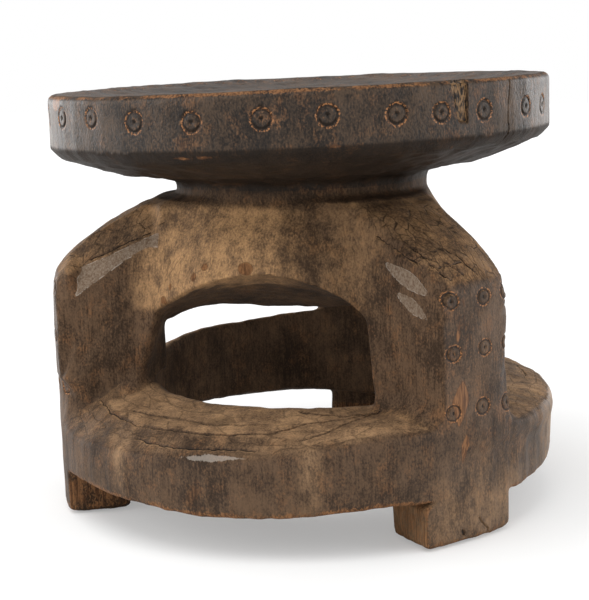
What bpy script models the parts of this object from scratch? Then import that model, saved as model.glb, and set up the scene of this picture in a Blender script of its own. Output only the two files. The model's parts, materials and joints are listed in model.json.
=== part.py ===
"""Carved three-legged stool.

The real stool is cut from one log: a dished round seat on a short neck, a bell-shaped
hub, three buttress legs that stand flush with a thick open ring, and a foot under each leg.
Each carved member is an object of its own, parted from its neighbours by a hairline gap where
the carving turns from one form into the next. Metres, +Z up, the rear leg on +Y.
"""
import bmesh
import bpy
from math import asin, copysign, cos, pi, radians, sin, sqrt
from mathutils import Matrix, Vector

# Heights, stacked from the floor up
FOOT_HEIGHT = 0.030
RING_HEIGHT = 0.040        # the ring's outer wall
JAMB_HEIGHT = 0.050        # from the ring's outer top edge to the springing of each arch
ARCH_RISE = 0.044          # from the springing to the crown
WEB_HEIGHT = 0.042         # wood between an arch's crown and the neck
NECK_HEIGHT = 0.008
SEAT_THICKNESS = 0.063     # from the neck to the top of the rim

# Diameters
SEAT_DIAMETER = 0.330
NECK_DIAMETER = 0.166
HUB_DIAMETER = 0.220       # the hub's wall between two legs
LOG_DIAMETER = 0.328       # outer faces of the legs, the ring and the feet
HUB_WALL = 0.013           # from the hub's wall in to the flat inner face of a leg
RING_BORE = 0.214          # inside of the ring

# Seat
RIM_HEIGHT = 0.034
DISH_DEPTH = 0.018
LIP_WIDTH = 0.006
LIP_ROUND = 0.003
RIM_CHAMFER = 0.006        # narrow facet under the rim
BELLY_DROP = 0.012         # how far the underside falls from that facet to its turn
BELLY_RUN = 0.034          # width of that fall

# Legs
LEG_WIDTH = 0.058
LEG_SLOPE = 0.46           # fall of a leg's crest for each unit outwards
CREST_FALL = 0.006         # how much lower a crest is at the leg's sides
SHOULDER_BLEND = 0.034     # rounding where the crest turns down into the outer face
EDGE_BLEND = 0.022         # rounding of the upright edges
FILLET_BLEND = 0.055       # hollow where a leg's side runs into the hub
HUB_BLEND = 0.016          # rounding where the hub's slope meets its wall
LEG_FLARE = 0.007          # a leg widens this much as it lands on the ring
FLARE_HEIGHT = 0.014

# Ring and feet
# How far the ring's top climbs from its outer edge to the bore, at each window and leg
RIGHT_WINDOW_RISE = 0.012
REAR_LEG_RISE = 0.038
LEFT_WINDOW_RISE = 0.030
LEFT_LEG_RISE = 0.017
FRONT_WINDOW_RISE = 0.0126
RIGHT_LEG_RISE = 0.0105
RING_UNDERCUT = 0.012      # the ring's underside climbs this much towards the bore
RING_EDGE = 0.006          # worn edges between the legs
FOOT_WIDTH = 0.060
FOOT_DEPTH = 0.042
FOOT_EDGE = 0.004

# Windows and the hollow under the hub
CEILING_DROP = 0.040       # the window's ceiling falls this much from its mouth to the axis
JAMB_SET = 0.0025          # a jamb is cut this far into the leg's own inner corner
HOLLOW_DOME = 0.009        # the hollow's ceiling is this much higher on the axis
SOLE_INSET = 0.010         # the body's underside is carried this far inside the legs' inner faces

# Fits and facets
CLEARANCE = 0.0003
OVERRUN = 0.020            # how far a cutter runs past the wood
TINY = 1e-6                # points closer than this are one point
SHARP_SHARE = 0.05         # what is left of a worn edge where it is kept almost sharp
SHARP_ANGLE = 35.0
SEAT_SIDES = 64
DISH_STEPS = 7
BELLY_STEPS = 6
ROUND_STEPS = 2
FACE_STEPS = 6             # half of a leg's outer face
SIDE_STEPS = 8             # a leg's side
WALL_STEPS = 8             # half of the hub's wall between two legs
RING_STEPS = 5             # across the ring's top
LEG_STEPS = 24             # across a leg, from one jamb round its outer face to the other
SOLVE_STEPS = 40           # halvings when a level or an edge is searched for
SIDE_MARGIN = 0.15         # the closer steps start this share before a leg's side and end as far past it
CREST_STEPS = 11
ARCH_STEPS = 14
TUNNEL_STEPS = 5
HOLLOW_SIDES = 46
DOME_STEPS = 4

LEGS = {"rear_leg": 90.0, "left_leg": 210.0, "right_leg": 330.0}
FEET = {"rear_foot": 90.0, "left_foot": 210.0, "right_foot": 330.0}
# Each window's direction, and how far its crown leans towards the leg on its right
WINDOWS = {"front_window": (270.0, 0.25), "right_window": (30.0, 0.0), "left_window": (150.0, 0.0)}

# Levels that follow from the stack
RING_TOP = FOOT_HEIGHT + RING_HEIGHT
SPRINGING = RING_TOP + JAMB_HEIGHT
WINDOW_TOP = SPRINGING + ARCH_RISE
HUB_TOP = WINDOW_TOP + WEB_HEIGHT
NECK_TOP = HUB_TOP + NECK_HEIGHT
STOOL_HEIGHT = NECK_TOP + SEAT_THICKNESS

SEAT_RADIUS = SEAT_DIAMETER / 2
NECK_RADIUS = NECK_DIAMETER / 2
HUB_RADIUS = HUB_DIAMETER / 2
LOG_RADIUS = LOG_DIAMETER / 2
HOLLOW_RADIUS = HUB_RADIUS - HUB_WALL
BORE_RADIUS = RING_BORE / 2
LEG_HALF = LEG_WIDTH / 2
# In order round the ring, from the right window on
RING_RISES = (RIGHT_WINDOW_RISE, REAR_LEG_RISE, LEFT_WINDOW_RISE,
              LEFT_LEG_RISE, FRONT_WINDOW_RISE, RIGHT_LEG_RISE)


def clear_scene():
    for item in list(bpy.data.objects):
        bpy.data.objects.remove(item, do_unlink=True)


def wood(name, colour, roughness):
    material = bpy.data.materials.new(name)
    material.use_nodes = True
    shader = material.node_tree.nodes["Principled BSDF"]
    shader.inputs["Base Color"].default_value = (*colour, 1.0)
    shader.inputs["Roughness"].default_value = roughness
    shader.inputs["Metallic"].default_value = 0.0
    return material


def add_object(name, mesh_data, colour=None, roughness=0.5):
    """A named object with its own material, or a hidden cutter when it has no colour."""
    item = bpy.data.objects.new(name, mesh_data)
    bpy.context.scene.collection.objects.link(item)
    if colour is None:
        item.hide_render = True
        item.display_type = "WIRE"
    else:
        item.data.materials.append(wood(name + "_wood", colour, roughness))
        item.data.shade_smooth()
        item.data.set_sharp_from_angle(angle=radians(SHARP_ANGLE))
    return item


def to_mesh(name, bm):
    bmesh.ops.remove_doubles(bm, verts=bm.verts, dist=TINY)
    bmesh.ops.recalc_face_normals(bm, faces=bm.faces)
    mesh_data = bpy.data.meshes.new(name)
    bm.to_mesh(mesh_data)
    bm.free()
    return mesh_data


def boolean(item, operation, cutter):
    modifier = item.modifiers.new(cutter.name, "BOOLEAN")
    modifier.operation = operation
    modifier.solver = "EXACT"
    modifier.object = cutter


def soft_min(a, b, blend):
    overlap = max(blend - abs(a - b), 0.0) / blend
    return min(a, b) - overlap * overlap * blend / 4


def soft_max(a, b, blend):
    return -soft_min(-a, -b, blend)


def turned(name, profile, sides):
    """Spin a profile of (radius, height) points that runs from the axis to the axis."""
    bm = bmesh.new()
    verts = [bm.verts.new((radius, 0.0, height)) for radius, height in profile]
    edges = [bm.edges.new(pair) for pair in zip(verts, verts[1:])]
    bmesh.ops.spin(bm, geom=verts + edges, cent=(0, 0, 0), axis=(0, 0, 1), angle=2 * pi,
                   steps=sides, use_merge=True)
    return to_mesh(name, bm)


def strip_cap(bm, row):
    """Close a loop that runs out along one side and back along the other by joining the two sides."""
    half = len(row) // 2
    for k in range(half):
        corners = [row[k], row[k + 1], row[-k - 1], row[-k]]
        bm.faces.new(list(dict.fromkeys(corners)))


def lofted(name, loops, closed, strips=False):
    """Bridge equal loops of points: into a ring when closed, else capped at both ends."""
    bm = bmesh.new()
    rows = [[bm.verts.new(point) for point in loop] for loop in loops]
    pairs = list(zip(rows, rows[1:]))
    if closed:
        pairs.append((rows[-1], rows[0]))
    for row, following in pairs:
        for i in range(len(row)):
            j = (i + 1) % len(row)
            bm.faces.new((row[i], row[j], following[j], following[i]))
    if strips:
        strip_cap(bm, rows[0])
        strip_cap(bm, rows[-1])
    elif not closed:
        bm.faces.new(rows[0])
        bm.faces.new(rows[-1])
    return to_mesh(name, bm)


def rounded(corners, radii, steps):
    """Replace each corner of a closed outline by a short curve that starts a radius away."""
    outline = []
    for i, corner in enumerate(corners):
        corner = Vector(corner)
        before = (Vector(corners[i - 1]) - corner).normalized() * radii[i]
        after = (Vector(corners[(i + 1) % len(corners)]) - corner).normalized() * radii[i]
        for k in range(steps + 1):
            t = k / steps
            outline.append(corner + before * (1 - t) ** 2 + after * t ** 2)
    return outline


def spread(start, end, count):
    return [start + (end - start) * i / count for i in range(count)]


def body_angles():
    """Directions round the stool in radians, close together along the legs' sides."""
    edge = asin(LEG_HALF / LOG_RADIUS) * (1 - SIDE_MARGIN)
    root = asin(LEG_HALF / HUB_RADIUS) * (1 + SIDE_MARGIN)
    half = spread(0.0, edge, FACE_STEPS) + spread(edge, root, SIDE_STEPS) + spread(root, pi / 3, WALL_STEPS)
    sector = [-angle for angle in reversed(half[1:])] + half + [pi / 3]
    return [radians(turn) + angle for turn in LEGS.values() for angle in sector]


def from_leg(angle):
    """Angle to the nearest leg's centre line, from 0 to 60 degrees."""
    turn = (angle - radians(LEGS["rear_leg"])) % (2 * pi / 3)
    return min(turn, 2 * pi / 3 - turn)


ANGLES = body_angles()


def ring_inner_top(angle):
    """Height of the bore's upper edge, eased from each leg or window to the next one round."""
    sector = (angle - radians(WINDOWS["right_window"][0])) / (pi / 3) % len(RING_RISES)
    start = int(sector)
    share = sector - start
    ease = share * share * (3 - 2 * share)
    following = RING_RISES[(start + 1) % len(RING_RISES)]
    return RING_TOP + RING_RISES[start] * (1 - ease) + following * ease


def ring_top_at(angle, radius):
    """Height of the ring's sloping top, also past its edges."""
    share = (LOG_RADIUS - radius) / (LOG_RADIUS - BORE_RADIUS)
    return RING_TOP + (ring_inner_top(angle) - RING_TOP) * share


def ring_underside_at(radius):
    share = (LOG_RADIUS - radius) / (LOG_RADIUS - BORE_RADIUS)
    return FOOT_HEIGHT + RING_UNDERCUT * share


def crest_radius(angle, height):
    """How far a leg's sloping top reaches at this height, lower at its sides than along its middle."""
    fall = CREST_FALL * (sin(angle) / LEG_HALF) ** 2
    slope = LEG_SLOPE * cos(angle)
    drop = HUB_TOP + LEG_SLOPE * NECK_RADIUS - height
    return 2 * drop / (slope + sqrt(slope * slope + 4 * fall * drop))


def body_radius(turn, height, flare=0.0):
    """Plan outline of hub and legs: a round hub with three slabs that blend into it."""
    angle = from_leg(turn)
    side = (LEG_HALF + flare) / max(sin(angle), TINY)
    crest = soft_min(crest_radius(angle, height), LOG_RADIUS, SHOULDER_BLEND)
    leg = soft_min(crest, side, EDGE_BLEND)
    slope = NECK_RADIUS + (HUB_TOP - height) * (HUB_RADIUS - NECK_RADIUS) / WEB_HEIGHT
    hub = soft_min(slope, HUB_RADIUS, HUB_BLEND)
    return min(soft_max(hub, leg, FILLET_BLEND), LOG_RADIUS)


def on_circle(radius, turn, height):
    return (radius * cos(turn), radius * sin(turn), height)


def landing_loop(share):
    """Outline just above the ring; the legs flare as they land on its sloping top."""
    loop = []
    for turn in ANGLES:
        radius = body_radius(turn, RING_TOP, LEG_FLARE * (1 - share) ** 2)
        landing = ring_top_at(turn, radius) + CLEARANCE
        loop.append(on_circle(radius, turn, landing + FLARE_HEIGHT * share))
    return loop


def body_mesh():
    """Hub and legs in one, before the windows and the hollow are cut."""
    inside = HOLLOW_RADIUS - SOLE_INSET
    loops = [[on_circle(inside, turn, ring_top_at(turn, inside) + CLEARANCE) for turn in ANGLES]]
    loops += [landing_loop(share) for share in (0.0, 0.5, 1.0)]
    shoulder = HUB_TOP - LEG_SLOPE * (LOG_RADIUS - NECK_RADIUS)
    top = HUB_TOP - CLEARANCE
    for height in spread(shoulder - SHOULDER_BLEND, top, CREST_STEPS) + [top]:
        loops.append([on_circle(body_radius(turn, height), turn, height) for turn in ANGLES])
    return lofted("body", loops, closed=False)


def hollow_cutter():
    """Everything under the hub, up to a low dome."""
    ceiling = WINDOW_TOP - CEILING_DROP + HOLLOW_DOME / 2
    outside = HUB_RADIUS + OVERRUN
    profile = [(0.0, 0.0), (outside, 0.0)]
    for k in range(DOME_STEPS, -1, -1):
        t = k / DOME_STEPS
        profile.append((outside * t, ceiling - HOLLOW_DOME * t * t))
    return add_object("hollow_cutter", turned("hollow_cutter", profile, HOLLOW_SIDES))


def window_outline(half_width, crown, lean):
    """Upright jambs that start below the wood, and a leaning elliptic arch above."""
    points = [(-half_width, 0.0), (half_width, 0.0)]
    for k in range(ARCH_STEPS + 1):
        turn = pi * k / ARCH_STEPS
        rise = (crown - SPRINGING) * sin(turn) * (1 + lean * cos(turn))
        points.append((half_width * cos(turn), SPRINGING + rise))
    return points


def window_half_width():
    """From a window's middle to its jambs, which are set a little into the legs' inner corners."""
    corner = sqrt(HUB_RADIUS ** 2 - LEG_HALF ** 2)
    return corner * sin(pi / 3) - LEG_HALF * cos(pi / 3) + JAMB_SET


def window_crown(reach):
    """Height of a window's ceiling at this distance from the axis."""
    return WINDOW_TOP + CEILING_DROP * (reach / HUB_RADIUS - 1)


def window_cutter(name, direction, lean):
    """A tunnel from outside to the axis; its ceiling falls inwards."""
    loops = []
    mouth = HUB_RADIUS + 2 * OVERRUN
    for reach in spread(mouth, -OVERRUN, TUNNEL_STEPS) + [-OVERRUN]:
        outline = window_outline(window_half_width(), window_crown(reach), lean)
        loops.append([(x, -reach, z) for x, z in outline])
    item = add_object(name, lofted(name, loops, closed=False))
    item.data.transform(Matrix.Rotation(radians(direction - 270.0), 4, "Z"))
    return item


def leg_region(name, direction):
    """A block that takes all the wood beyond a leg's flat inner face, and a hairline more."""
    parting = HOLLOW_RADIUS - CLEARANCE
    bm = bmesh.new()
    bmesh.ops.create_cube(bm, size=1.0)
    depth = LOG_RADIUS + OVERRUN - parting
    size = Matrix.Diagonal((depth, 2 * LOG_RADIUS, HUB_TOP + 2 * OVERRUN, 1.0))
    place = Matrix.Translation((parting + depth / 2, 0.0, HUB_TOP / 2))
    bm.transform(Matrix.Rotation(radians(direction), 4, "Z") @ place @ size)
    return add_object(name, to_mesh(name, bm))


def halved(low, high, inside):
    """The last value between low and high for which inside holds."""
    for _ in range(SOLVE_STEPS):
        middle = (low + high) / 2
        if inside(middle):
            low = middle
        else:
            high = middle
    return low


def arch_half_width(height, reach, lean):
    """From a window's middle to its edge at this height, on the side that a positive lean raises."""
    if height <= SPRINGING:
        return window_half_width()
    rise = (height - SPRINGING) / (window_crown(reach) - SPRINGING)
    turn = halved(0.0, pi / 3, lambda angle: sin(angle) * (1 + lean * cos(angle)) < rise)
    return window_half_width() * cos(turn)


def leg_inside(direction, offset, height):
    """Distance from the axis to a leg's inner surface: its flat inner face, or the jamb beside it."""
    face = HOLLOW_RADIUS / cos(offset)
    side = copysign(1.0, offset)
    away, lean = min((side * (place[0] - direction) % 360.0, place[1]) for place in WINDOWS.values())
    gap = radians(away) - abs(offset)
    radius = face
    for _ in range(ROUND_STEPS):
        jamb = arch_half_width(height, radius * cos(gap), -side * lean)
        radius = max(face, jamb / sin(gap))
    return radius


def leg_section(direction, height, flare=0.0):
    """(direction, inside, outside) across a leg at this height, from one jamb to the other."""
    middle = radians(direction)

    def solid(offset):
        return leg_inside(direction, offset, height) < body_radius(middle + offset, height, flare)

    left = halved(0.0, pi / 3, solid)
    right = halved(0.0, pi / 3, lambda offset: solid(-offset))
    section = []
    for k in range(LEG_STEPS + 1):
        offset = (left - right) / 2 - (left + right) / 2 * cos(pi * k / LEG_STEPS)
        outside = body_radius(middle + offset, height, flare)
        section.append((middle + offset, leg_inside(direction, offset, height), outside))
    return section


def drawn_in(section, share):
    """The same section with only this share of its thickness, about its middle line."""
    rows = []
    for turn, inside, outside in section:
        middle = (inside + outside) / 2
        reach = (outside - inside) / 2 * share
        rows.append((turn, middle - reach, middle + reach))
    return rows


def leg_loop(section, height_at):
    """Out along the leg's outside and back along its inside, which meet at both jambs."""
    outer = [on_circle(outside, turn, height_at(turn, outside)) for turn, inside, outside in section]
    inner = [on_circle(inside, turn, height_at(turn, inside)) for turn, inside, outside in section]
    return outer + inner[-2:0:-1]


def make_leg(name, direction):
    """Sections from the ring's sloping top to the level where the crest meets the flat inner face."""
    low = HUB_TOP - LEG_SLOPE * (LOG_RADIUS - NECK_RADIUS) - SHOULDER_BLEND
    high = halved(low, HUB_TOP, lambda height: body_radius(radians(direction), height) > HOLLOW_RADIUS)

    def landing(turn, radius, climb=0.0):
        sole = ring_top_at(turn, radius) + CLEARANCE
        return sole + (low - sole) * climb

    sole = leg_section(direction, RING_TOP, LEG_FLARE)
    loops = [leg_loop(drawn_in(sole, share), landing) for share in (1 / 3, 2 / 3)]
    for share in (0.0, 0.5, 1.0):
        section = leg_section(direction, RING_TOP, LEG_FLARE * (1 - share) ** 2)
        climb = share * FLARE_HEIGHT / (low - RING_TOP)
        loops.append(leg_loop(section, lambda turn, radius: landing(turn, radius, climb)))
    for height in spread(low, high - CLEARANCE, CREST_STEPS) + [high - CLEARANCE]:
        loops.append(leg_loop(leg_section(direction, height), lambda turn, radius: height))
    add_object(name, lofted(name, loops, closed=False, strips=True), (0.105, 0.074, 0.053), 0.46)


def make_hub_and_legs():
    hub = add_object("hub", body_mesh(), (0.150, 0.095, 0.058), 0.55)
    for name, direction in LEGS.items():
        make_leg(name, direction)
        boolean(hub, "DIFFERENCE", leg_region(name + "_parting", direction))
    boolean(hub, "DIFFERENCE", hollow_cutter())
    for name, place in WINDOWS.items():
        boolean(hub, "DIFFERENCE", window_cutter(name, *place))


def make_seat():
    """Dished top with a narrow lip, upright rim, and an underside that swells towards the neck."""
    top = STOOL_HEIGHT
    dish_radius = SEAT_RADIUS - LIP_WIDTH - LIP_ROUND
    profile = []
    for k in range(DISH_STEPS + 1):
        t = k / DISH_STEPS
        profile.append((dish_radius * t, top - DISH_DEPTH * (1 - t * t)))
    for k in range(ROUND_STEPS + 1):
        turn = pi / 2 * k / ROUND_STEPS
        profile.append((SEAT_RADIUS - LIP_ROUND * (1 - sin(turn)), top - LIP_ROUND * (1 - cos(turn))))
    rim_foot = top - RIM_HEIGHT
    turn_radius = SEAT_RADIUS - RIM_CHAMFER
    turn_height = rim_foot - RIM_CHAMFER
    profile += [(SEAT_RADIUS, rim_foot), (turn_radius, turn_height)]
    knee = (turn_radius - BELLY_RUN, turn_height - BELLY_DROP)
    for k in range(1, BELLY_STEPS + 1):
        t = k / BELLY_STEPS
        radius = turn_radius * (1 - t) ** 2 + 2 * knee[0] * t * (1 - t) + NECK_RADIUS * t * t
        height = turn_height * (1 - t) ** 2 + 2 * knee[1] * t * (1 - t) + NECK_TOP * t * t
        profile.append((radius, height))
    profile.append((0.0, NECK_TOP))
    add_object("seat", turned("seat", profile, SEAT_SIDES), (0.085, 0.062, 0.046), 0.42)


def make_neck():
    low = HUB_TOP
    high = NECK_TOP - CLEARANCE
    profile = [(0.0, high), (NECK_RADIUS, high), (NECK_RADIUS, low), (0.0, low)]
    add_object("neck", turned("neck", profile, SEAT_SIDES), (0.045, 0.030, 0.020), 0.60)


def ring_edge(angle):
    """Worn edge between the legs, left almost sharp where a leg or a foot is flush with the ring."""
    edge = asin(max(LEG_WIDTH, FOOT_WIDTH) / 2 / LOG_RADIUS)
    away = min(max((from_leg(angle) - edge) / edge, 0.0), 1.0)
    return RING_EDGE * max(away, SHARP_SHARE)


def make_ring():
    loops = []
    for angle in ANGLES:
        corners = [(LOG_RADIUS, FOOT_HEIGHT), (LOG_RADIUS, RING_TOP),
                   (BORE_RADIUS, ring_inner_top(angle)), (BORE_RADIUS, ring_underside_at(BORE_RADIUS))]
        outline = rounded(corners, [ring_edge(angle)] * 4, ROUND_STEPS)
        inner_edge = 2 * (ROUND_STEPS + 1)
        outer_edge = inner_edge - 1
        between = spread(outline[outer_edge], outline[inner_edge], RING_STEPS)[1:]
        outline = outline[:inner_edge] + between + outline[inner_edge:]
        loops.append([(p.x * cos(angle), p.x * sin(angle), p.y) for p in outline])
    add_object("base_ring", lofted("base_ring", loops, closed=True), (0.120, 0.082, 0.055), 0.55)


def foot_envelope():
    """A turned ring that trims the feet: flush outside, and a hairline under the ring's underside."""
    inside = LOG_RADIUS - 2 * FOOT_DEPTH
    loops = []
    for angle in ANGLES:
        corners = [(LOG_RADIUS, 0.0), (LOG_RADIUS, FOOT_HEIGHT - CLEARANCE),
                   (inside, ring_underside_at(inside) - CLEARANCE), (inside, 0.0)]
        sharp = FOOT_EDGE * SHARP_SHARE
        outline = rounded(corners, [FOOT_EDGE, sharp, sharp, sharp], ROUND_STEPS)
        loops.append([(p.x * cos(angle), p.x * sin(angle), p.y) for p in outline])
    return add_object("foot_envelope", lofted("foot_envelope", loops, closed=True))


def make_feet():
    envelope = foot_envelope()
    for name, direction in FEET.items():
        bm = bmesh.new()
        bmesh.ops.create_cube(bm, size=1.0)
        depth = FOOT_DEPTH + OVERRUN
        height = FOOT_HEIGHT + RING_UNDERCUT + OVERRUN
        size = Matrix.Diagonal((depth, FOOT_WIDTH, height, 1.0))
        place = Matrix.Translation((LOG_RADIUS - FOOT_DEPTH + depth / 2, 0.0, height / 2))
        bm.transform(place @ size)
        low = [edge for edge in bm.edges if all(vert.co.z < height / 2 for vert in edge.verts)]
        upright = [edge for edge in bm.edges if abs(edge.verts[0].co.z - edge.verts[1].co.z) > height / 2]
        bmesh.ops.bevel(bm, geom=low + upright, offset=FOOT_EDGE, segments=ROUND_STEPS, profile=0.5,
                         affect="EDGES")
        bm.transform(Matrix.Rotation(radians(direction), 4, "Z"))
        foot = add_object(name, to_mesh(name, bm), (0.130, 0.086, 0.056), 0.50)
        boolean(foot, "INTERSECT", envelope)


clear_scene()
make_seat()
make_neck()
make_hub_and_legs()
make_ring()
make_feet()
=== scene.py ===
# %% [markdown]
# # A stool carved from one log
# The stool has a dished seat, a short neck, three buttress legs and an open ring on three feet.
# On the real object all of these are one piece of wood, so no joint lines may show. This lesson fuses
# copies of the solids into one skin, carves that skin, and parts it again so that each piece
# can stand in for its own solid.

# %% Load the frame
import json
from math import cos, pi, radians, sin
from types import SimpleNamespace

import bmesh
import bpy
import numpy as np
from mathutils import Matrix, Vector
from mathutils.bvhtree import BVHTree


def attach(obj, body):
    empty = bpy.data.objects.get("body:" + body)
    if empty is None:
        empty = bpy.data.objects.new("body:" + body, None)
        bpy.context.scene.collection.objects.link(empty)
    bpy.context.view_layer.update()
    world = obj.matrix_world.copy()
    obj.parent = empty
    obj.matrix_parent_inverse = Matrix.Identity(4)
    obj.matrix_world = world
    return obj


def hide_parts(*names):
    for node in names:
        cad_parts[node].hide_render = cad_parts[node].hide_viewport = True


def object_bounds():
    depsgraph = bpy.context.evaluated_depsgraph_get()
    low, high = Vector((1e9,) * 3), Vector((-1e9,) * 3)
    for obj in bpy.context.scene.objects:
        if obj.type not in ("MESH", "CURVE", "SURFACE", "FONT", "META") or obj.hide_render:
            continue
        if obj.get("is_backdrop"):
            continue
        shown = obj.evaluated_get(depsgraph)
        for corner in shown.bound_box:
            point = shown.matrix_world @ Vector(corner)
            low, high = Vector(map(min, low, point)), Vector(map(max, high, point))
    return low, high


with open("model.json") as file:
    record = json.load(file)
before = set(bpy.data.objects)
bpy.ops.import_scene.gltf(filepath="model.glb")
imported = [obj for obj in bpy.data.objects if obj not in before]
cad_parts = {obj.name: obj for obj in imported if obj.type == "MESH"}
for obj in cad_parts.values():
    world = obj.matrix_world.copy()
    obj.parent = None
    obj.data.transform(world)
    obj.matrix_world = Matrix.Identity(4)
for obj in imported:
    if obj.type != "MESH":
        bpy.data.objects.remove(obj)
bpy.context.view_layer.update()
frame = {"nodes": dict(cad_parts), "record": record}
print("solids:", sorted(frame["nodes"]))

# %% [markdown]
# ## Camera
# The view is a long lens from a little above the seat, turned so that the right leg comes
# towards the viewer. The camera's axes are written out, because it also leans by two degrees.

# %% Camera
PHOTO_TURN = radians(22.05)
EYE = (0.0, -0.990, 0.29955)


def from_photo(vector):
    """Turn a vector from the picture's own axes to the stool's."""
    return Matrix.Rotation(PHOTO_TURN, 3, "Z") @ Vector(vector)


camera_data = bpy.data.cameras.new("camera")
camera_data.lens = 88.2
camera_data.sensor_width = 36.0
camera = bpy.data.objects.new("camera", camera_data)
bpy.context.scene.collection.objects.link(camera)
right = from_photo((0.99945, 0.00153, -0.03311))
above = from_photo((0.03238, 0.16873, 0.98513))
ahead = from_photo((-0.00710, 0.98566, -0.16859))
facing = Matrix((right, above, -ahead)).transposed().to_4x4()
camera.matrix_world = Matrix.Translation(from_photo(EYE)) @ facing
bpy.context.scene.camera = camera
print("camera at", tuple(round(c, 3) for c in camera.matrix_world.translation))

# %% [markdown]
# ## One skin
# Each solid is copied, its loose triangles are merged, and it is swollen by less than half a millimetre so
# that the hairline gaps close. A voxel remesh then wraps all the copies in one even skin, and a few
# rounds of smoothing wear its edges round, as years of handling did.

# %% Fuse the solids
SWELL = 0.0004
VOXEL = 0.0018
SAME_POINT = 1e-6


def fused_skin():
    gathered = bmesh.new()
    for name in sorted(frame["nodes"]):
        copy = bmesh.new()
        copy.from_mesh(frame["nodes"][name].data)
        bmesh.ops.remove_doubles(copy, verts=copy.verts, dist=SAME_POINT)
        copy.normal_update()
        for vert in copy.verts:
            vert.co += vert.normal * SWELL
        part = bpy.data.meshes.new(name + "_copy")
        copy.to_mesh(part)
        copy.free()
        gathered.from_mesh(part)
        bpy.data.meshes.remove(part)
    mesh = bpy.data.meshes.new("skin")
    gathered.to_mesh(mesh)
    gathered.free()
    skin = bpy.data.objects.new("skin", mesh)
    bpy.context.scene.collection.objects.link(skin)
    remesh = skin.modifiers.new("remesh", "REMESH")
    remesh.mode = "VOXEL"
    remesh.voxel_size = VOXEL
    smooth = skin.modifiers.new("smooth", "SMOOTH")
    smooth.factor = 0.5
    smooth.iterations = 5
    bpy.context.view_layer.update()
    done = bpy.data.meshes.new_from_object(skin.evaluated_get(bpy.context.evaluated_depsgraph_get()))
    bpy.data.objects.remove(skin)
    return done


skin_mesh = fused_skin()
print("skin:", len(skin_mesh.vertices), "points")

# %% [markdown]
# ## Where the ornament sits
# Dot-and-circle marks run round the rim, each leg carries three rows of three, and a row of small ones
# follows the edge of the dish. They were cut by hand, so their spacing wanders. The same list serves the
# fine mesh, the grooves and the colour.

# %% Marks
LEG_TURNS = {"rear_leg": 90.0, "left_leg": 210.0, "right_leg": 330.0}
LEG_COLUMNS = {"right_leg": (-6.8, 1.0, 8.0), "left_leg": (-7.0, -0.5, 5.4), "rear_leg": (-6.6, 0.4, 7.2)}
LEG_ROWS = (0.1505, 0.1200, 0.0835)
LEG_FACE = 0.164
RIM_RADIUS = 0.165
RIM_ROW = 0.2610
RIM_STEP = 13.55
DISH_RADIUS = 0.149
DISH_LEVEL = 0.2750
DISH_TOP = 0.2715
DISH_MARKS = 64
WANDER = 0.0012
rng = np.random.default_rng(7)
# Each mark: direction, height (distance from the axis on the dish), radius of the face, circle radius, on the dish
marks = []
rim_turns = [215.6, 229.6, 243.2, 256.6, 270.3, 284.7, 297.6, 311.6, 321.6, 333.2, 348.7, 359.6]
rim_turns += [rim_turns[-1] + RIM_STEP * k + rng.uniform(-0.9, 0.9) for k in range(1, 16)]
for turn in rim_turns:
    level = RIM_ROW + rng.uniform(-WANDER, WANDER)
    marks.append((turn % 360.0, level, RIM_RADIUS, rng.uniform(0.0052, 0.0059), 0.0))
for leg, columns in LEG_COLUMNS.items():
    for row in LEG_ROWS:
        for column in columns:
            turn = (LEG_TURNS[leg] + column + rng.uniform(-0.4, 0.4)) % 360.0
            level = row + rng.uniform(-WANDER, WANDER)
            marks.append((turn, level, LEG_FACE, rng.uniform(0.0044, 0.0049), 0.0))
for k in range(DISH_MARKS):
    turn = k * 360.0 / DISH_MARKS + rng.uniform(-0.6, 0.6)
    marks.append((turn, DISH_RADIUS + rng.uniform(-0.0008, 0.0008), DISH_RADIUS, 0.0030, 1.0))
mark_turn, mark_level, mark_bend, mark_circle, mark_flag = np.array(marks).T
mark_on_dish = mark_flag > 0.5
mark_reach = np.where(mark_on_dish, mark_level, mark_bend)
mark_height = np.where(mark_on_dish, DISH_LEVEL, mark_level)
mark_angle = np.radians(mark_turn)
mark_centres = np.stack([mark_reach * np.cos(mark_angle), mark_reach * np.sin(mark_angle), mark_height], axis=1)
print("marks:", len(marks))

# %% [markdown]
# Cracks open as the log dries, along the grain and across the end grain, and a few gashes came with use. Each is
# a short chain of points with a width and a depth, so that one list can sink them and darken them.

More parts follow.
